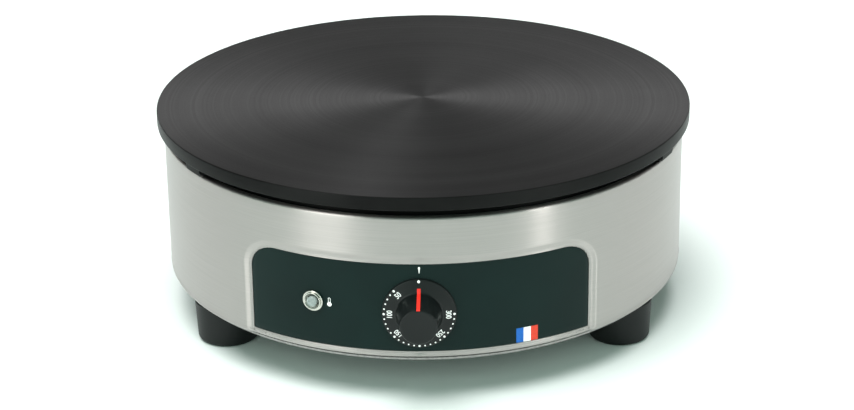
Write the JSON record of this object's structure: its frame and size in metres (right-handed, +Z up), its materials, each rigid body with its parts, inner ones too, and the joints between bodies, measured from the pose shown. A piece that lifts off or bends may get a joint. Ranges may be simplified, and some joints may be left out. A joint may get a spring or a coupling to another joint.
{
  "type": "electric crepe maker",
  "caption": "Round table-top griddle: cast plate on a brushed steel drum with a curved black control panel, thermostat knob, pilot light and stubby feet.",
  "frame": {"origin": "on the table, under the centre of the griddle plate", "axes": "+Z up, -Y towards the front with the knob, +X to the right as seen from the front"},
  "size_m": [0.4, 0.4381, 0.158],
  "materials": {
    "cast_iron": "turned and seasoned, satin",
    "stainless": "brushed round the drum",
    "panel_black": "satin black, printed in white",
    "knob_black": "fine satin",
    "pointer_red": "satin red",
    "foot_black": "satin black",
    "chrome": "polished",
    "lens": "clear and milky",
    "zinc": "zinc plated",
    "tray_steel": "mill finish",
    "element_sheath": "heat-browned steel",
    "ceramic": "glazed ceramic",
    "mineral_board": "pressed mineral fibre",
    "aluminised": "aluminised steel",
    "copper": "drawn copper",
    "brass": "plain brass",
    "phenolic": "moulded phenolic",
    "gland_black": "moulded nylon",
    "seal_rubber": "soft rubber",
    "lead_red": "silicone insulation"
  },
  "bodies": {
    "root": {"griddle_plate": "cast_iron", "outer_heating_element": "element_sheath", "inner_heating_element": "element_sheath", "element_terminals": "ceramic", "element_clamp_plate": "zinc", "clamp_screws": "zinc", "insulation_board": "mineral_board", "heat_shield": "aluminised", "sensor_bulb": "copper", "bulb_clip": "zinc", "capillary_tube": "copper", "support_pillars": "zinc", "tie_bolts": "zinc", "tie_bolt_washers": "zinc", "body_shell": "stainless", "base_tray": "tray_steel", "base_screws": "chrome", "base_rivet_nuts": "zinc", "foot_left": "foot_black", "foot_right": "foot_black", "foot_rear": "foot_black", "control_panel": "panel_black", "pilot_bezel": "chrome", "pilot_lens": "lens", "pilot_lamp_body": "panel_black", "pilot_nut": "zinc", "thermostat_bracket": "zinc", "thermostat_body": "phenolic", "thermostat_screws": "zinc", "thermostat_tabs": "brass", "terminal_block": "ceramic", "terminal_block_screws": "zinc", "wire_clamp_screws": "brass", "earth_stud": "brass", "cable_gland": "gland_black", "gland_seal": "seal_rubber", "gland_dome_nut": "gland_black", "gland_lock_nut": "gland_black", "internal_leads": "lead_red"},
    "knob": {"knob": "knob_black", "knob_pointer": "pointer_red", "knob_spring_clip": "zinc", "thermostat_spindle": "zinc"}
  },
  "joints": [
    {"name": "knob_turn", "type": "hinge", "parent": "root", "child": "knob", "pos_m": [0, -0.2, 0.07], "axis": [0, 1, 0], "range_deg": [0, 270]}
  ]
}
